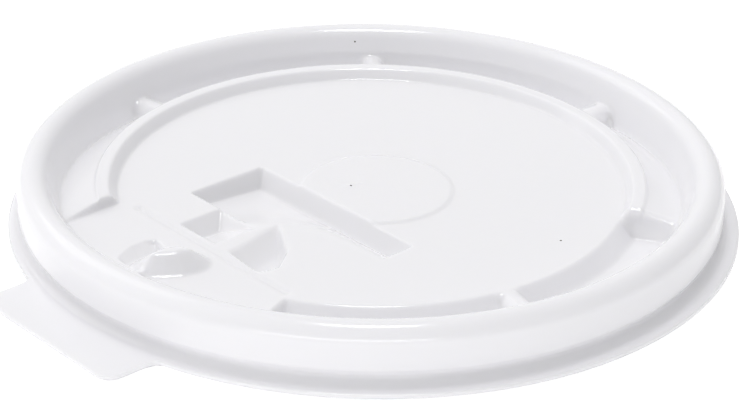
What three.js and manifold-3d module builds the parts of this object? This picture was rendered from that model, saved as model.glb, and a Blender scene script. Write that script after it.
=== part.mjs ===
import * as THREE from "three";
import { mergeVertices } from "three/addons/utils/BufferGeometryUtils.js";
import Module from "manifold-3d";

// A tear-back lid for a hot drink cup, formed in one piece from thin white plastic sheet.
// Millimetres, +Z up. The lid stands on its flange, and the pull tab points along -Y.
// It is drawn about the rim's axis and then moved, so that the origin is the bottom centre of its box.

const wasm = await Module();
wasm.setup();
const degree = Math.PI / 180;

// Sheet
const sheet = 0.5;
const facets = 84;
const arcStep = 5 * degree;

// Rim bead that snaps over the cup's rolled lip
const skirtRadius = 45.8;
const beadHeight = 8;
const beadRound = 2.1;
const beadRadius = skirtRadius - beadRound;
const skirtLow = 2.5;
const snapDepth = 0.55;
const snapRadius = skirtRadius - snapDepth;
const snapHeight = 1.7;
const flangeFillet = 0.4;
const flangeRoot = skirtRadius + flangeFillet;

// Flange and pull tab
const flangeWidth = 1.7;
const flangeRadius = skirtRadius + flangeWidth;
const flangeX = 0.45;
const flangeY = 0.15;
const tabCentre = 0.7;
const tabHalfWidth = 12.8;
const tabReach = 52.7;
const tabCorner = 2.2;

// Moat between the bead and the deck
const moatFloor = 1.9;
const beadWallRun = 4.1;
const moatOuterFoot = beadRadius - beadWallRun;
const moatInnerFoot = 35;
const deckRadius = 33.1;
const deckHeight = 4;

// Raised ring round the back of the deck, widened by a plateau that ramps down at each side
const ringHeight = 5.3;
const ringInner = 34.1;
const ringOuter = 35.7;
const ringInnerRun = 0.85;
const ringOuterRun = 0.53;
const plateauRadius = 39.9;
const plateauHigh = 4.3;
const plateauLow = 2;
const plateauStep = 0.15;
const plateauOverlap = 0.4;
const plateauLength = 52 * degree;
const backAngle = 137.9 * degree;
const ringSpread = 105.4 * degree;
const endDraft = 0.35;

// Tear strip at deck level, from the pull tab to the fold line
const stripLeft = -16.9;
const stripRoomFar = 20;
const stripRight = [[16.7, -28.5], [19.2, -35.7]];
const wallDraft = 0.4;

// Short bridges that cross the moat
const frontBridgeAngle = -11.9 * degree;
const frontBridgeWidth = 2.8;
const ribWidth = 3;
const ribHeight = 4.4;
const ribSpread = 52.8 * degree;

// Fold line
const foldY = -27.3;
const foldHalfLength = 15;
const foldWidth = 1.5;
const foldDepth = 0.3;

// Long recess that takes the folded-back rim: its near side rises gently
const recessRim = { left: -12.9, right: 16.6, near: -19.6, far: -7.8 };
const recessFloor = { left: -11.4, right: 15.5, near: -14.6, far: -9.8 };
const recessDepth = 2.25;

// Recess left of the lock, with a floor that rises to the right
const catchRim = { left: -6.9, right: 0.8, near: -26.1, far: -19.5 };
const catchFloor = { left: -5.4, right: -4.4, near: -25.6, far: -22.5 };
const catchDepth = 1.4;

// Drop-shaped recess that takes the lock's lug
const dropDepth = 2.1;
const dropRun = 0.66;
const cornerRound = 0.9;

// Recess and lug on the tear strip
const dimpleDepth = 1.4;
const dimpleRun = 0.7;
const lugHeight = 1.6;
const lugRun = 1;

// Faint round pad on the deck
const padRadius = 9.7;
const padCentre = [1.9, -0.7];
const padHeight = 0.25;

// Room left above or below a cutter so that no two faces meet
const spare = 1;

function arc(radius, from, to) {
  const steps = Math.max(1, Math.ceil(Math.abs(to - from) / arcStep));
  const points = [];
  for (let i = 0; i <= steps; i += 1) {
    const angle = from + ((to - from) * i) / steps;
    points.push([radius * Math.cos(angle), radius * Math.sin(angle)]);
  }
  return points;
}

// Offset a line to its right-hand side, which is outwards on an anticlockwise outline
function shift(points, distance, closed) {
  const count = points.length;
  return points.map((point, i) => {
    const before = closed ? points[(i + count - 1) % count] : points[Math.max(i - 1, 0)];
    const after = closed ? points[(i + 1) % count] : points[Math.min(i + 1, count - 1)];
    const normals = [[before, point], [point, after]]
      .map(([a, b]) => new THREE.Vector2(b[1] - a[1], a[0] - b[0]))
      .filter((side) => side.lengthSq() > 1e-12)
      .map((side) => side.normalize());
    const bisector = normals[0].clone().add(normals[normals.length - 1]).normalize();
    const reach = distance / Math.max(bisector.dot(normals[0]), 0.5);
    return [point[0] + bisector.x * reach, point[1] + bisector.y * reach];
  });
}

function rounded(points, radius) {
  const count = points.length;
  const path = new THREE.Path();
  points.forEach((corner, i) => {
    const here = new THREE.Vector2(...corner);
    const before = new THREE.Vector2(...points[(i + count - 1) % count]);
    const after = new THREE.Vector2(...points[(i + 1) % count]);
    const back = before.clone().sub(here);
    const ahead = after.clone().sub(here);
    const cut = Math.min(radius, back.length() / 2.2, ahead.length() / 2.2);
    const start = here.clone().add(back.setLength(cut));
    const end = here.clone().add(ahead.setLength(cut));
    if (i === 0) path.moveTo(start.x, start.y);
    else path.lineTo(start.x, start.y);
    path.quadraticCurveTo(here.x, here.y, end.x, end.y);
  });
  return path.getPoints(3).map((point) => [point.x, point.y]);
}

function solidFrom(geometry) {
  const bare = geometry.index ? geometry.clone() : geometry;
  bare.deleteAttribute("normal");
  bare.deleteAttribute("uv");
  const merged = mergeVertices(bare, 1e-5);
  return new wasm.Manifold(new wasm.Mesh({
    numProp: 3,
    vertProperties: new Float32Array(merged.attributes.position.array),
    triVerts: new Uint32Array(merged.index.array),
  }));
}

function revolve(profile) {
  const line = profile.map(([r, z]) => new THREE.Vector2(r, z));
  const geometry = new THREE.LatheGeometry(line, facets);
  geometry.rotateX(Math.PI / 2);
  return solidFrom(geometry);
}

// Solid between two outlines with the same number of points, one above the other
function loft(lower, upper, zLower, zUpper) {
  const count = lower.length;
  const flat = (outline) => outline.map((point) => new THREE.Vector2(...point));
  const cap = (outline) => THREE.ShapeUtils.triangulateShape(flat(outline), []);
  const below = lower.flatMap(([x, y]) => [x, y, zLower]);
  const above = upper.flatMap(([x, y]) => [x, y, zUpper]);
  const positions = [...below, ...above];
  const index = [];
  for (const [a, b, c] of cap(lower)) index.push(c, b, a);
  for (const [a, b, c] of cap(upper)) index.push(count + a, count + b, count + c);
  for (let i = 0; i < count; i += 1) {
    const next = (i + 1) % count;
    index.push(i, next, count + next);
    index.push(i, count + next, count + i);
  }
  const geometry = new THREE.BufferGeometry();
  geometry.setAttribute("position", new THREE.Float32BufferAttribute(positions, 3));
  geometry.setIndex(index);
  return solidFrom(geometry);
}

// An outline that can grow or shrink: sharp corners move first and are rounded afterwards
function corners(points, radius) {
  return (growth) => rounded(shift(points, growth, true), radius);
}

function edges(points) {
  return (growth) => shift(points, growth, true);
}

// A raised form: its top outline at the height, with walls that widen by the draft as they go down
function raised(outline, height, foot, draft, inset) {
  const upper = outline(-inset);
  const lower = outline(draft * (height - foot) - inset);
  return loft(lower, upper, foot - inset, height - inset);
}

// A sunk form: its rim outline at the surface, with walls that close in by the draft as they go down
function sunk(outline, surface, depth, draft, inset) {
  const floor = outline(inset - draft * depth);
  const upper = outline(inset + draft * spare);
  return loft(floor, upper, surface - depth - inset, surface + spare - inset);
}

// Half section of the formed sheet's upper face, from the flange root up over the bead to the centre
function upperFace() {
  const centreZ = beadHeight - beadRound;
  const bead = arc(beadRound, 0, 160 * degree)
    .filter((point, i) => i % 3 === 0)
    .map(([x, z]) => [beadRadius + x, centreZ + z]);
  return [
    [flangeRoot, sheet],
    [snapRadius + 0.1, snapHeight - 0.6],
    [snapRadius, snapHeight],
    [skirtRadius, skirtLow],
    ...bead,
    [moatOuterFoot + 0.25, moatFloor + 0.4],
    [moatOuterFoot - 0.35, moatFloor],
    [moatInnerFoot, moatFloor],
    [deckRadius, deckHeight],
    [0, deckHeight],
  ];
}

function formedBase(inset) {
  const face = inset > 0 ? shift(upperFace(), -inset, false) : upperFace();
  const low = inset > 0 ? -spare : 0;
  const root = face[0][0];
  const last = face.length - 1;
  face[last] = [0, deckHeight - inset];
  const line = [[0, low], [root, low], ...face];
  return revolve(line);
}

// Solid through a row of four-sided sections
function sweep(sections) {
  const positions = sections.flat(2);
  const index = [];
  for (let i = 0; i + 1 < sections.length; i += 1) {
    for (let j = 0; j < 4; j += 1) {
      const a = i * 4 + j;
      const b = i * 4 + ((j + 1) % 4);
      index.push(a, b + 4, b, a, a + 4, b + 4);
    }
  }
  const last = (sections.length - 1) * 4;
  index.push(0, 1, 2, 0, 2, 3, last, last + 2, last + 1, last, last + 3, last + 2);
  const geometry = new THREE.BufferGeometry();
  geometry.setAttribute("position", new THREE.Float32BufferAttribute(positions, 3));
  geometry.setIndex(index);
  return solidFrom(geometry);
}

// Sections round the rim's axis, square to it except at the ends, which widen as they go down
function arcSweep(from, to, section, inset) {
  const steps = Math.ceil((to - from) / arcStep);
  const sections = [];
  for (let i = 0; i <= steps; i += 1) {
    const profile = section(from + ((to - from) * i) / steps);
    const top = Math.max(...profile.map(([, z]) => z));
    sections.push(profile.map(([radius, z]) => {
      const widen = (endDraft * (top - z) - inset) / radius;
      const end = i === 0 ? -widen : Number(i === steps) * widen;
      const angle = from + ((to - from) * i) / steps + end;
      return [radius * Math.cos(angle), radius * Math.sin(angle), z];
    }));
  }
  return sweep(sections);
}

function ringBand(inset) {
  const foot = moatFloor - sheet - inset;
  const top = ringHeight - inset;
  const drop = top - foot;
  return arcSweep(backAngle - ringSpread, backAngle + ringSpread + arcStep, () => [
    [ringInner + inset, top],
    [ringInner + inset - ringInnerRun * drop, foot],
    [ringOuter - inset + ringOuterRun * drop, foot],
    [ringOuter - inset, top],
  ], inset);
}

// Plateau on one side: its outer edge follows the bead's wall and ramps down towards the back
function plateau(side, inset) {
  const foot = moatFloor - sheet - inset;
  const section = (angle) => {
    const fromEnd = ringSpread - Math.abs(angle - backAngle);
    const share = Math.min(Math.max(fromEnd / plateauLength, 0), 1);
    const edge = plateauHigh + (plateauLow - plateauHigh) * share;
    const start = ringOuter - plateauOverlap;
    const high = ringHeight - plateauStep;
    const fall = (high - edge) / (plateauRadius - start);
    return [
      [start, high - inset],
      [start, foot],
      [plateauRadius + spare, foot],
      [plateauRadius + spare, edge - inset - spare * fall],
    ];
  };
  const end = ringSpread + (side > 0 ? arcStep : 0);
  if (side > 0) return arcSweep(backAngle + ringSpread - plateauLength, backAngle + end, section, inset);
  return arcSweep(backAngle - end, backAngle - ringSpread + plateauLength, section, inset);
}

// Room over the tear strip: cuts the ring and the left plateau off in a straight line
function stripRoom(inset) {
  const near = -flangeRadius - 2.5;
  const outline = [[stripLeft, near], [0, near], [0, -stripRoomFar], [stripLeft, -stripRoomFar]];
  return sunk(edges(outline), ringHeight + spare, ringHeight - deckHeight + spare, endDraft, inset);
}

function tearStrip(inset) {
  const outerRadius = beadRadius - beadRound + 0.3;
  const innerRadius = deckRadius - 2;
  const left = -Math.acos((stripLeft - 2) / outerRadius);
  const [inner, outer] = stripRight;
  const outline = [
    ...arc(outerRadius, left, Math.atan2(outer[1], outer[0]) - arcStep / 2),
    outer,
    inner,
    ...arc(innerRadius, Math.atan2(inner[1], inner[0]) - arcStep / 2, left),
  ];
  return raised(edges(outline), deckHeight, moatFloor - sheet, wallDraft, inset);
}

function bridge(angle, width, height, from, inset) {
  const to = beadRadius - beadRound + 0.3;
  const box = [[from, -width / 2], [to, -width / 2], [to, width / 2], [from, width / 2]];
  const outline = box.map(([x, y]) => [
    x * Math.cos(angle) - y * Math.sin(angle),
    x * Math.sin(angle) + y * Math.cos(angle),
  ]);
  return raised(edges(outline), height, moatFloor - sheet, wallDraft, inset);
}

function bridges(inset) {
  const rib = (turn) => bridge(backAngle + turn, ribWidth, ribHeight, ringOuter, inset);
  const front = bridge(frontBridgeAngle, frontBridgeWidth, deckHeight, deckRadius - 1, inset);
  return [front, rib(-ribSpread), rib(0), rib(ribSpread)];
}

function foldLine(inset) {
  const half = foldWidth / 2;
  const outline = corners([
    [-foldHalfLength, foldY - half],
    [foldHalfLength, foldY - half],
    [foldHalfLength, foldY + half],
    [-foldHalfLength, foldY + half],
  ], half);
  return sunk(outline, deckHeight, foldDepth, foldWidth * 0.9, inset);
}

function rectangle({ left, right, near, far }, growth) {
  return shift([[left, near], [right, near], [right, far], [left, far]], growth, true);
}

// A recess from a rectangular rim down to a smaller floor that need not be centred in it
function basin(rim, floor, depth, inset) {
  const steep = spare / depth;
  const above = {
    left: rim.left + (rim.left - floor.left) * steep,
    right: rim.right + (rim.right - floor.right) * steep,
    near: rim.near + (rim.near - floor.near) * steep,
    far: rim.far + (rim.far - floor.far) * steep,
  };
  const low = deckHeight - depth - inset;
  return loft(rectangle(floor, inset), rectangle(above, inset), low, deckHeight + spare - inset);
}

function dropRecess(inset) {
  const outline = corners([
    [1.3, -16.6],
    [2.5, -22],
    [3, -25],
    [4.4, -26.2],
    [9.6, -26.4],
    [10, -24],
    [7.6, -20.6],
    [5, -18.8],
  ], cornerRound);
  return sunk(outline, deckHeight, dropDepth, dropRun, inset);
}

function dimple(inset) {
  const outline = corners([
    [-5.9, -34.7],
    [-4.6, -37.7],
    [-0.6, -37.7],
    [-1.6, -34.6],
    [-2.2, -31.9],
    [-5.4, -31.1],
  ], cornerRound);
  return sunk(outline, deckHeight, dimpleDepth, dimpleRun, inset);
}

function lockLug(inset) {
  const outline = corners([
    [1.2, -36.2],
    [3.4, -35.4],
    [4.4, -32.8],
    [2.2, -32.6],
    [1, -34],
  ], cornerRound);
  return raised(outline, deckHeight + lugHeight, deckHeight - sheet, lugRun, inset);
}

function deckPad(inset) {
  const outline = arc(padRadius, 0, 355 * degree).map(([x, y]) => [x + padCentre[0], y + padCentre[1]]);
  return raised(edges(outline), deckHeight + padHeight, deckHeight - sheet, 1, inset);
}

// The same forms make the upper face with no inset, and the underside with an inset of one sheet
function formed(inset) {
  let body = formedBase(inset);
  const band = ringBand(inset).add(plateau(1, inset)).add(plateau(-1, inset)).subtract(stripRoom(inset));
  for (const form of [band, tearStrip(inset), ...bridges(inset), deckPad(inset)]) {
    body = body.add(form);
  }
  body = body.subtract(basin(recessRim, recessFloor, recessDepth, inset));
  body = body.subtract(basin(catchRim, catchFloor, catchDepth, inset));
  body = body.subtract(dropRecess(inset));
  body = body.subtract(foldLine(inset));
  body = body.subtract(dimple(inset));
  return body.add(lockLug(inset));
}

function flange() {
  const disc = arc(flangeRadius, 0, 355 * degree).map(([x, y]) => [x + flangeX, y + flangeY]);
  const tab = corners([
    [tabCentre - tabHalfWidth, -tabReach],
    [tabCentre + tabHalfWidth, -tabReach],
    [tabCentre + tabHalfWidth, -snapRadius],
    [tabCentre - tabHalfWidth, -snapRadius],
  ], tabCorner);
  return loft(disc, disc, 0, sheet).add(loft(tab(0), tab(0), 0, sheet));
}

function geometryFrom(solid) {
  const mesh = solid.getMesh();
  const geometry = new THREE.BufferGeometry();
  geometry.setAttribute("position", new THREE.BufferAttribute(new Float32Array(mesh.vertProperties), 3));
  geometry.setIndex(new THREE.BufferAttribute(new Uint32Array(mesh.triVerts), 1));
  geometry.computeVertexNormals();
  return geometry;
}

const plastic = new THREE.MeshStandardMaterial({ color: 0xeeedf1, roughness: 0.35, metalness: 0 });
const lid = new THREE.Mesh(geometryFrom(formed(0).add(flange()).subtract(formed(sheet))), plastic);
lid.name = "lid";
lid.position.set(-flangeX, (tabReach - flangeRadius - flangeY) / 2, 0);

const group = new THREE.Group();
group.add(lid);

export default group;
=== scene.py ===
import bpy
import math
import numpy as np
from mathutils import Matrix, Vector


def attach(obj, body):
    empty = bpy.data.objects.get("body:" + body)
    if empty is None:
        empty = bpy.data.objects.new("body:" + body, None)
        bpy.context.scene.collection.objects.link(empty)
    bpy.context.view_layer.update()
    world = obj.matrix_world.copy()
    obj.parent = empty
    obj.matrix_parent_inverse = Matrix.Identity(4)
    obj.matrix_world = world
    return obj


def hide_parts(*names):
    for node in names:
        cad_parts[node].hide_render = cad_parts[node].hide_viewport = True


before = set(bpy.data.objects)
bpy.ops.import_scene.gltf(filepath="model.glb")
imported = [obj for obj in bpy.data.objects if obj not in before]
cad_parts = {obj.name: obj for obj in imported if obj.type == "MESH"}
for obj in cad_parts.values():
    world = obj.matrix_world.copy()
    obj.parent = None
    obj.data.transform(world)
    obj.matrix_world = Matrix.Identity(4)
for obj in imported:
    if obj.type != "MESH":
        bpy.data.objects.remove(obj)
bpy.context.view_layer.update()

# The lid is drawn in millimetres about the rim's axis, then moved to the frame's origin.
SHIFT = (-0.45, 2.525)
SHEET = 0.5

# Rim, moat and deck
FLANGE_R, FLANGE_X, FLANGE_Y = 47.5, 0.45, 0.15
TAB_CENTRE, TAB_HALF, TAB_REACH, TAB_CORNER = 0.7, 12.8, 52.7, 2.2
BEAD_R, BEAD_TOP, BEAD_ROUND = 43.7, 8.0, 2.1
SKIRT_R, SKIRT_LOW = 45.8, 2.5
SNAP_R, SNAP_Z, ROOT_R = 45.25, 1.7, 46.2
MOAT_Z, MOAT_OUT, MOAT_IN = 1.9, 39.6, 35.0
DECK_R, DECK_Z = 33.1, 4.0

# Ring, plateaus and bridges
RING_Z, RING_IN, RING_OUT, RING_IN_RUN, RING_OUT_RUN = 5.3, 34.1, 35.7, 0.85, 0.53
PLATEAU_R, PLATEAU_HIGH, PLATEAU_LOW, PLATEAU_LEN = 39.9, 4.3, 2.0, math.radians(52)
BACK, SPREAD = math.radians(137.9), math.radians(105.4)
STRIP_LEFT, STRIP_RIGHT = -16.9, (16.7, -28.5, math.radians(-70.9))
RIB_SPREAD, RIB_W, RIB_Z = math.radians(52.8), 3.0, 4.4
BRIDGE_A, BRIDGE_W = math.radians(-11.9), 2.8

# Faint round pad and pip near the middle of the deck
PAD_X, PAD_Y, PAD_R, PAD_RISE = 1.9, -0.7, 9.7, 0.22
PIP_X, PIP_Y, PIP_RISE = -0.7, -2.8, 0.25

# Angles and radii of the mesh's grid: fine where the recesses are
FINE_FROM, FINE_TO = math.radians(-163), math.radians(-17)

# Photo's frame to the lid's frame
PHOTO_TURN = math.radians(48)
FOCAL_PX, PHOTO_WIDTH_PX = 2500, 743
UNIT = 0.95

# Colours
WHITE = (0.87, 0.865, 0.89, 1)
SPECK_AND_PIP_SHADE_DARK = (0.05, 0.045, 0.04, 1)

# Dark marks (x, y, z, radius): a dot of painted shade on the pip, which is too small for the mesh to shade,
# and dirt specks on the bead's back wall and on the right of the deck
DIRT_SPECKS_AND_PIP_SHADE = [(-0.55, -3.0, 4.4, 0.15), (-32.6, 25.8, 6.25, 0.12), (27.5, 7.3, 4.0, 0.14)]


def smin(a, b, k):
    """Lesser of two heights, with the join rounded over about k."""
    h = np.clip(0.5 + 0.5 * (b - a) / k, 0, 1)
    return b + (a - b) * h - k * h * (1 - h)


def smax(a, b, k):
    return -smin(-a, -b, k)


def polygon(x, y, points):
    """Signed distance to a polygon, negative inside."""
    p = np.array(points, float)
    d = np.full(x.shape, 1e9)
    sign = np.ones(x.shape)
    for i in range(len(p)):
        a, b = p[i], p[i - 1]
        e = b - a
        wx, wy = x - a[0], y - a[1]
        t = np.clip((wx * e[0] + wy * e[1]) / (e @ e), 0, 1)
        d = np.minimum(d, (wx - e[0] * t) ** 2 + (wy - e[1] * t) ** 2)
        c1, c2, c3 = y >= a[1], y < b[1], e[0] * wy > e[1] * wx
        flip = (c1 & c2 & c3) | (~c1 & ~c2 & ~c3)
        sign = np.where(flip, -sign, sign)
    return sign * np.sqrt(d)


def box(x, y, cx, cy, hx, hy, r):
    """Signed distance to a rounded box."""
    qx, qy = np.abs(x - cx) - hx + r, np.abs(y - cy) - hy + r
    out = np.hypot(np.maximum(qx, 0), np.maximum(qy, 0))
    return out + np.minimum(np.maximum(qx, qy), 0) - r


def turn(x, y, angle):
    c, s = math.cos(angle), math.sin(angle)
    return x * c + y * s, y * c - x * s


def sunk(h, d, surface, depth, run, k):
    """A recess: d is the distance to its rim, run how far its wall goes in for its depth."""
    floor = surface - depth
    return smin(h, smax(surface + d * depth / run, floor, k), k)


def raised(h, d, top, run, k):
    """A raised form whose wall goes down 1 mm for each run outside d = 0."""
    return np.minimum(smax(h, smin(top - d / run, top, k), k), np.maximum(h, top))


def bead_wall(r):
    """The bead's inner wall, from the moat floor to the bead's crest, as a height."""
    z0, z1 = MOAT_Z, BEAD_TOP - BEAD_ROUND + BEAD_ROUND * math.sin(math.radians(160))
    r1 = BEAD_R + BEAD_ROUND * math.cos(math.radians(160))
    line = z0 + (r - MOAT_OUT) * (z1 - z0) / (r1 - MOAT_OUT)
    inside = np.clip(BEAD_R - r, 0, BEAD_ROUND)
    bead = BEAD_TOP - BEAD_ROUND + np.sqrt(np.maximum(BEAD_ROUND**2 - inside**2, 0))
    return np.where(r < r1, line, bead)


def height(x, y):
    """Upper face of the formed sheet inside the bead's crest."""
    r, a = np.hypot(x, y), np.arctan2(y, x)
    a = np.where(a < BACK - math.pi, a + 2 * math.pi, a)
    off = np.abs(a - BACK)

    # moat inner wall and deck
    wall = DECK_Z - (r - DECK_R) * (DECK_Z - MOAT_Z) / (MOAT_IN - DECK_R)
    low = smax(wall, MOAT_Z, 0.45)
    h = smin(low, DECK_Z, 0.34)

    # tear strip, with its right end wall nearly along a radius
    side = turn(x - STRIP_RIGHT[0], y - STRIP_RIGHT[1], STRIP_RIGHT[2])
    strip = np.maximum(side[1], STRIP_LEFT - 3 - x)
    strip = np.maximum(strip, -(r - 30))
    strip = np.maximum(strip, y + 20)
    h = raised(h, strip, DECK_Z, 0.45, 0.34)

    # raised ring, its sides and its two ends
    inner = RING_Z - (RING_IN - r) / RING_IN_RUN
    outer = RING_Z - (r - RING_OUT) / RING_OUT_RUN
    ring = smin(smin(inner, outer, 0.15), RING_Z, 0.13)
    inside_share = np.clip((SPREAD - off) / PLATEAU_LEN, 0, 1)
    edge = PLATEAU_HIGH + (PLATEAU_LOW - PLATEAU_HIGH) * inside_share
    top = RING_Z - 0.15 + (edge - RING_Z + 0.15) * (r - RING_OUT + 0.4) / (PLATEAU_R - RING_OUT + 0.4)
    ramp = smin(smin(inner, top, 0.15), RING_Z, 0.13)
    ramp = np.where(off > SPREAD - PLATEAU_LEN - 0.02, ramp, -9)
    band = smax(ring, ramp, 0.12)
    right = turn(x, y, BACK - SPREAD)
    end = np.where(right[0] > 0, RING_Z + right[1] / 0.35, 9)
    left = np.where((y < -10) & (x < 0), RING_Z - (x - STRIP_LEFT) / 0.35, 9)
    band = smin(smin(band, end, 0.3), left, 0.3)
    band = np.where(off < SPREAD + 0.5, band, -9)
    h = smax(h, band, 0.14)

    # bridges over the moat
    for angle, width, z in (
        (BACK, RIB_W, RIB_Z),
        (BACK - RIB_SPREAD, RIB_W, RIB_Z),
        (BACK + RIB_SPREAD, RIB_W, RIB_Z),
        (BRIDGE_A, BRIDGE_W, DECK_Z),
    ):
        u, v = turn(x, y, angle)
        start = DECK_R - 0.5 if z == DECK_Z else RING_OUT + 0.4
        d = np.maximum(np.abs(v) - width / 2 + 0.25, start - u)
        h = np.where(u > 0, raised(h, d, z, 0.35, 0.25), h)

    # faint round pad and pip
    h = raised(h, np.hypot(x - PAD_X, y - PAD_Y) - PAD_R, DECK_Z + PAD_RISE, 1.6, 0.12)
    h = h + PIP_RISE * np.exp(-(((x - PIP_X) ** 2 + (y - PIP_Y) ** 2) / 0.25))

    # recess for the folded rim: deepest along its far wall, with a floor that twists up to the deck
    far, near, lo, hi, depth = -7.8, -19.6, -12.9, 16.6, 2.25
    foot = far - 1.7
    length = 2.6 + 46 * np.clip((hi - x) / (hi - lo), 0, 1) ** 4
    floor = DECK_Z - depth * (1 - np.clip((foot - y) / length, 0, 2))
    pit = smax(DECK_Z - (x - lo) * depth / 1.5, DECK_Z - (hi - x) * depth / 0.7, 0.15)
    pit = smax(pit, DECK_Z - (far - y) * depth / 1.7, 0.15)
    pit = smax(pit, DECK_Z - (y - near) * depth / 0.7, 0.15)
    h = np.minimum(h, smax(smin(pit, h, 0.16), smin(floor, h, 1.2), 0.1))

    # left lock recess: a steep left wall and a floor that rises to the right
    depth = 1.9
    planes = [
        DECK_Z - (x + 6.9) * depth / 2.3,
        DECK_Z - depth + (x + 4.6) * depth / 5.0,
        DECK_Z - (y + 26.1) * depth / 0.5,
        DECK_Z - depth + (y + 21.6) * depth / 2.2,
    ]
    pit = planes[0]
    for q in planes[1:]:
        pit = smax(pit, q, 0.15)
    h = smin(h, smax(pit, DECK_Z - depth, 0.2), 0.1)

    # right lock recess: a rounded drop shape whose floor falls away from its soft left rim
    drop = polygon(x, y, [(0.2, -16.1), (0.6, -22.0), (1.2, -26.2), (4.3, -26.4),
                          (8.7, -26.8), (9.7, -26.4), (10.2, -24.0), (7.8, -20.6), (5.1, -18.9)])
    fall = DECK_Z - (x - 1.0 - 1.8 * np.clip((-16.1 - y) / 8.6, 0, 1)) * 0.6
    pit = smax(smax(DECK_Z + (drop + 0.1) * 2.4, fall, 0.25), DECK_Z - 2.3, 0.6)
    h = smin(h, pit, 0.3)

    # fold line
    groove = box(x, y, 0.9, -27.4, 15.2, 0.75, 0.7)
    h = sunk(h, groove, DECK_Z, 0.28, 0.8, 0.16)

    # recess and lug on the tear strip
    pit = polygon(x, y, [(-4.6, -37.7), (-5.9, -34.7), (-6.1, -32.6), (-5.4, -31.0), (-4.5, -31.1),
                         (-1.6, -31.9), (-1.4, -33.9), (-0.6, -36.1), (0.2, -37.8)])
    fall = DECK_Z - (x + 6.1 - 1.4 * np.clip((-34.5 - y) / 3.3, 0, 1)) * 0.5
    h = smin(h, smax(smax(DECK_Z + (pit + 0.05) * 2.2, fall, 0.15), DECK_Z - 1.7, 0.2), 0.12)
    lug = polygon(x, y, [(0.4, -35.8), (0.3, -33.9), (1.1, -32.3), (2.3, -31.9), (2.0, -33.4), (1.3, -34.7)])
    h = raised(h, lug, DECK_Z + 2.1, 1.3, 0.25)

    # bead wall over everything
    return smax(h, bead_wall(r), 0.55)


def spaced(stops):
    """Radii with a given spacing in each range: [(from, to, step), ...]."""
    out = []
    for a, b, s in stops:
        n = max(1, round((b - a) / s))
        out += [a + (b - a) * i / n for i in range(n)]
    return np.array(out + [stops[-1][1]])


def angles(fine, coarse):
    """Angles round the axis: fine over the tab side, coarse elsewhere."""
    a, b = FINE_FROM, FINE_TO
    n = round((b - a) / math.radians(fine))
    m = round((2 * math.pi - (b - a)) / math.radians(coarse))
    part = [a + (b - a) * i / n for i in range(n)]
    return np.array(part + [b + (2 * math.pi - (b - a)) * i / m for i in range(m)])


def flange_edge(theta):
    """Radius of the flange's outline, pull tab included, at each angle round the rim's axis."""
    c, s = np.cos(theta), np.sin(theta)
    b = c * FLANGE_X + s * FLANGE_Y
    disc = b + np.sqrt(b * b - FLANGE_X**2 - FLANGE_Y**2 + FLANGE_R**2)
    out = disc.copy()
    for i, (ci, si, ri) in enumerate(zip(c, s, disc)):
        if si > -0.5:
            continue
        q = np.linspace(ri, TAB_REACH * 1.05, 400)
        d = box(q * ci, q * si, TAB_CENTRE, -(TAB_REACH + 30) / 2, TAB_HALF, (TAB_REACH - 30) / 2, TAB_CORNER)
        root = 1.2 * np.clip(1 - (q - ri) / 1.2, 0, 1) ** 2
        inside = q[d < root * 0.5]
        if len(inside):
            out[i] = max(out[i], inside[-1])
    return out


def rim_outside():
    """Profile from the bead's crest down the outer wall to the flange's root: radius and height."""
    z = BEAD_TOP - BEAD_ROUND
    turns = np.linspace(0, math.pi / 2, 14)
    pts = [(BEAD_R + BEAD_ROUND * math.sin(t), z + BEAD_ROUND * math.cos(t)) for t in turns]
    pts += [(SKIRT_R, 4.2), (SKIRT_R, 2.9), (SKIRT_R - 0.03, 2.6), (SKIRT_R - 0.13, SKIRT_LOW - 0.1)]
    pts += [(SNAP_R + 0.12, SNAP_Z + 0.2), (SNAP_R + 0.02, SNAP_Z - 0.05), (SNAP_R, SNAP_Z - 0.35)]
    pts += [(SNAP_R + 0.08, 1.2), (SNAP_R + 0.4, 0.85), (ROOT_R, SHEET + 0.06), (ROOT_R + 0.35, SHEET)]
    return pts


def grid_mesh(name, rows):
    """Quads between rows of points, each row once round the axis."""
    n = len(rows[0])
    verts = np.concatenate(rows)
    faces = []
    for i in range(len(rows) - 1):
        a = np.arange(n) + i * n
        b = np.roll(np.arange(n), -1) + i * n
        faces.append(np.stack([a, a + n, b + n, b], 1))
    faces = np.concatenate(faces).tolist()
    return name, verts, faces


def finish_mesh(name, verts, faces):
    """Smooth mesh object, moved to the frame's origin."""
    verts = np.array(verts, float)
    verts[:, 0] += SHIFT[0]
    verts[:, 1] += SHIFT[1]
    mesh = bpy.data.meshes.new(name)
    mesh.from_pydata((verts / 1000).tolist(), [], faces)
    mesh.validate()
    mesh.update()
    obj = bpy.data.objects.new(name, mesh)
    bpy.context.collection.objects.link(obj)
    for p in mesh.polygons:
        p.use_smooth = True
    return obj


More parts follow.
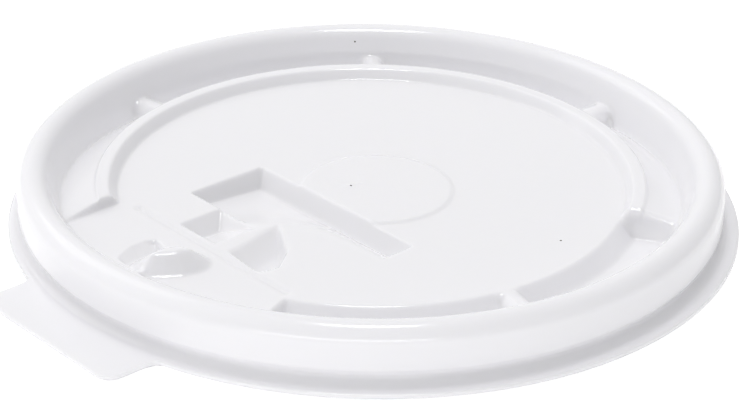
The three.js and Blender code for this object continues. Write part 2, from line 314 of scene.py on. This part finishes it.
def make_lid():
    """Upper and lower face of the formed sheet, as two pieces that meet at the flange's edge."""
    theta = angles(0.42, 1.25)
    c, s = np.cos(theta), np.sin(theta)
    step = 1.0
    radii = spaced([
        (0.4, 6, 1.0 * step),
        (6, 7.6, 0.4 * step),
        (7.6, 32.4, 0.27 * step),
        (32.4, 36.2, 0.19 * step),
        (36.2, 38.8, 0.3 * step),
        (38.8, BEAD_R, 0.2 * step),
    ])
    rows = []
    for r in radii:
        x, y = r * c, r * s
        rows.append(np.stack([x, y, height(x, y)], 1))
    for r, z in rim_outside()[1:]:
        rows.append(np.stack([r * c, r * s, np.full(len(c), z)], 1))
    edge = flange_edge(theta)
    for share in (0.35, 0.7, 0.97):
        r = ROOT_R + 0.35 + (edge - ROOT_R - 0.35) * share
        rows.append(np.stack([r * c, r * s, np.full(len(c), SHEET)], 1))
    for inset, z in ((0.03, SHEET - 0.01), (0.0, SHEET - 0.06), (0.0, 0.06), (0.03, 0.01), (0.08, 0.0)):
        r = edge - inset
        rows.append(np.stack([r * c, r * s, np.full(len(c), z)], 1))
    name, verts, faces = grid_mesh("lid_top", rows)
    n = len(theta)
    centre = len(verts)
    verts = np.concatenate([verts, [[0, 0, DECK_Z + PAD_RISE]]])
    faces += [[centre, i, (i + 1) % n] for i in range(n)]
    top = finish_mesh(name, verts, faces)

    # the underside follows the upper face one sheet lower
    pick = np.arange(0, n, 2)
    tc, ts = c[pick], s[pick]
    under = []
    for r in spaced([(0.4, 6, 2.0), (6, 32.4, 0.55), (32.4, 36.4, 0.4), (36.4, 42.2, 0.45)]):
        x, y = r * tc, r * ts
        e = 0.05
        gx = (height(x + e, y) - height(x - e, y)) / (2 * e)
        gy = (height(x, y + e) - height(x, y - e)) / (2 * e)
        k = SHEET / np.sqrt(1 + gx * gx + gy * gy)
        z = height(x, y)
        under.append(np.stack([x + k * np.clip(gx, -3, 3), y + k * np.clip(gy, -3, 3), z - k], 1))
    rr = BEAD_ROUND - SHEET
    zc = BEAD_TOP - BEAD_ROUND
    inner = [(BEAD_R - rr * math.cos(t), zc + rr * math.sin(t)) for t in np.linspace(0.5, math.pi, 12)]
    inner += [(SKIRT_R - SHEET, 2.7), (SNAP_R - SHEET + 0.1, SNAP_Z + 0.2), (SNAP_R - SHEET, SNAP_Z - 0.4)]
    inner += [(SNAP_R - SHEET + 0.3, 0.7), (ROOT_R - 0.35, 0.12), (ROOT_R - 0.1, 0.0)]
    for r, z in inner:
        under.append(np.stack([r * tc, r * ts, np.full(len(tc), z)], 1))
    under.append(np.stack([(edge[pick] - 0.08) * tc, (edge[pick] - 0.08) * ts, np.zeros(len(tc))], 1))
    name, verts, faces = grid_mesh("lid_under", under)
    m = len(pick)
    centre = len(verts)
    verts = np.concatenate([verts, [[0, 0, DECK_Z + PAD_RISE - SHEET]]])
    faces += [[centre, i, (i + 1) % m] for i in range(m)]
    faces = [f[::-1] for f in faces]
    return top, finish_mesh(name, verts, faces)


def plastic():
    """Glossy white plastic with a faint grain, a few dark dirt specks and a dot of painted shade on the pip.
    """
    mat = bpy.data.materials.new("white_plastic")
    mat.use_nodes = True
    nt = mat.node_tree
    b = nt.nodes["Principled BSDF"]
    b.inputs["Base Color"].default_value = WHITE
    b.inputs["Roughness"].default_value = 0.13
    b.inputs["Subsurface Weight"].default_value = 0.3
    b.inputs["Subsurface Radius"].default_value = (0.0012, 0.0012, 0.0013)
    b.inputs["Subsurface Scale"].default_value = 1.0
    noise = nt.nodes.new("ShaderNodeTexNoise")
    noise.inputs["Scale"].default_value = 90
    noise.inputs["Detail"].default_value = 3
    bump = nt.nodes.new("ShaderNodeBump")
    bump.inputs["Strength"].default_value = 0.03
    bump.inputs["Distance"].default_value = 0.0004
    nt.links.new(noise.outputs["Fac"], bump.inputs["Height"])
    nt.links.new(bump.outputs["Normal"], b.inputs["Normal"])
    where = nt.nodes.new("ShaderNodeTexCoord")
    mix = nt.nodes.new("ShaderNodeMix")
    mix.data_type = "RGBA"
    mix.inputs[6].default_value = WHITE
    mix.inputs[7].default_value = SPECK_AND_PIP_SHADE_DARK
    # Mask of the dark marks: dirt specks, and a dot of painted shade on the pip standing in for shading too
    # small for the mesh
    dirt_and_pip_shade_mask = None
    for x, y, z, size in DIRT_SPECKS_AND_PIP_SHADE:
        far = nt.nodes.new("ShaderNodeVectorMath")
        far.operation = "DISTANCE"
        far.inputs[1].default_value = ((x + SHIFT[0]) / 1000, (y + SHIFT[1]) / 1000, z / 1000)
        near = nt.nodes.new("ShaderNodeMath")
        near.operation = "LESS_THAN"
        near.inputs[1].default_value = size / 1000
        nt.links.new(where.outputs["Object"], far.inputs[0])
        nt.links.new(far.outputs["Value"], near.inputs[0])
        if dirt_and_pip_shade_mask is None:
            dirt_and_pip_shade_mask = near
        else:
            both = nt.nodes.new("ShaderNodeMath")
            both.operation = "MAXIMUM"
            nt.links.new(dirt_and_pip_shade_mask.outputs["Value"], both.inputs[0])
            nt.links.new(near.outputs["Value"], both.inputs[1])
            dirt_and_pip_shade_mask = both
    nt.links.new(dirt_and_pip_shade_mask.outputs["Value"], mix.inputs[0])
    nt.links.new(mix.outputs[2], b.inputs["Base Color"])
    return mat


def from_photo(x, y, z):
    """A point in the photo's frame (x right, y away from the camera), in mm, to the lid's frame in metres."""
    a = PHOTO_TURN
    u, v = x * math.cos(a) - y * math.sin(a), x * math.sin(a) + y * math.cos(a)
    return Vector(((u + SHIFT[0]) / 1000, (v + SHIFT[1]) / 1000, z / 1000))


def make_floor():
    """Pale floor that keeps the lid's soft shadow."""
    bpy.ops.mesh.primitive_plane_add(size=8, location=(0, 0, -0.00002))
    floor = bpy.context.object
    floor.name = "floor"
    mat = bpy.data.materials.new("floor")
    mat.use_nodes = True
    b = mat.node_tree.nodes["Principled BSDF"]
    b.inputs["Base Color"].default_value = (0.9, 0.9, 0.9, 1)
    b.inputs["Roughness"].default_value = 0.9
    b.inputs["Specular IOR Level"].default_value = 0.0
    b.inputs["Emission Color"].default_value = (1, 1, 1, 1)
    b.inputs["Emission Strength"].default_value = 0.32
    floor.data.materials.append(mat)


def make_world():
    """Soft white light, brightest from the back left above, and plain white to the camera."""
    bright = Matrix.Rotation(PHOTO_TURN, 3, "Z") @ Vector((-0.45, 0.55, 0.7)).normalized()
    world = bpy.data.worlds.new("studio")
    bpy.context.scene.world = world
    world.use_nodes = True
    nt = world.node_tree
    back = nt.nodes["Background"]
    back.inputs["Color"].default_value = (1, 1, 1, 1)
    coord = nt.nodes.new("ShaderNodeTexCoord")
    dot = nt.nodes.new("ShaderNodeVectorMath")
    dot.operation = "DOT_PRODUCT"
    dot.inputs[1].default_value = bright
    gain = nt.nodes.new("ShaderNodeMath")
    gain.operation = "MULTIPLY_ADD"
    gain.inputs[1].default_value = 0.48
    gain.inputs[2].default_value = 0.49
    least = nt.nodes.new("ShaderNodeMath")
    least.operation = "MAXIMUM"
    least.inputs[1].default_value = 0.34
    nt.links.new(coord.outputs["Generated"], dot.inputs[0])
    nt.links.new(dot.outputs["Value"], gain.inputs[0])
    nt.links.new(gain.outputs["Value"], least.inputs[0])
    nt.links.new(least.outputs["Value"], back.inputs["Strength"])
    seen = nt.nodes.new("ShaderNodeBackground")
    seen.inputs["Color"].default_value = (1, 1, 1, 1)
    seen.inputs["Strength"].default_value = 1.0
    path = nt.nodes.new("ShaderNodeLightPath")
    mix = nt.nodes.new("ShaderNodeMixShader")
    nt.links.new(path.outputs["Is Camera Ray"], mix.inputs["Fac"])
    nt.links.new(back.outputs["Background"], mix.inputs[1])
    nt.links.new(seen.outputs["Background"], mix.inputs[2])
    nt.links.new(mix.outputs["Shader"], nt.nodes["World Output"].inputs["Surface"])


def lamp(name, where, aim, size, watts, size_y=None):
    """Area lamp at a point in the photo's frame, turned to another; sizes in metres."""
    data = bpy.data.lights.new(name, "AREA")
    data.shape = "RECTANGLE"
    data.size = size
    data.size_y = size_y or size
    data.energy = watts
    obj = bpy.data.objects.new(name, data)
    bpy.context.collection.objects.link(obj)
    obj.location = from_photo(*where)
    obj.rotation_mode = "QUATERNION"
    obj.rotation_quaternion = (from_photo(*aim) - obj.location).to_track_quat("-Z", "Y")


def make_camera():
    """Camera solved from the photo's outlines."""
    cam_data = bpy.data.cameras.new("camera")
    cam_data.sensor_width = 36
    cam_data.lens = FOCAL_PX / PHOTO_WIDTH_PX * 36
    cam_data.clip_start = 0.01
    cam = bpy.data.objects.new("camera", cam_data)
    bpy.context.collection.objects.link(cam)
    where = from_photo(0.0973 * UNIT, -307.985 * UNIT, 156.550 * UNIT)
    turned = Matrix.Rotation(PHOTO_TURN, 3, "Z")
    right = turned @ Vector((0.99990, 0.00642, 0.01275))
    down = turned @ Vector((0.01428, -0.44952, -0.89316))
    ahead = turned @ Vector((0.0, 0.89325, -0.44956))
    basis = Matrix((right, -down, -ahead)).transposed()
    cam.matrix_world = Matrix.Translation(where) @ basis.to_4x4()
    bpy.context.scene.camera = cam


white = plastic()
for piece in make_lid():
    piece.data.materials.append(white)
    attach(piece, "root")
    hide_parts("lid")

make_floor()
make_world()
lamp("left_back", (-420, 330, 520), (0, 0, 0), 0.45, 0.6)
lamp("overhead", (0, 40, 620), (0, 0, 0), 0.14, 0.8)
lamp("front_low", (-80, -600, 40), (0, -40, 2), 0.6, 0.75, 0.08)
make_camera()

bpy.context.scene.view_settings.view_transform = "Standard"
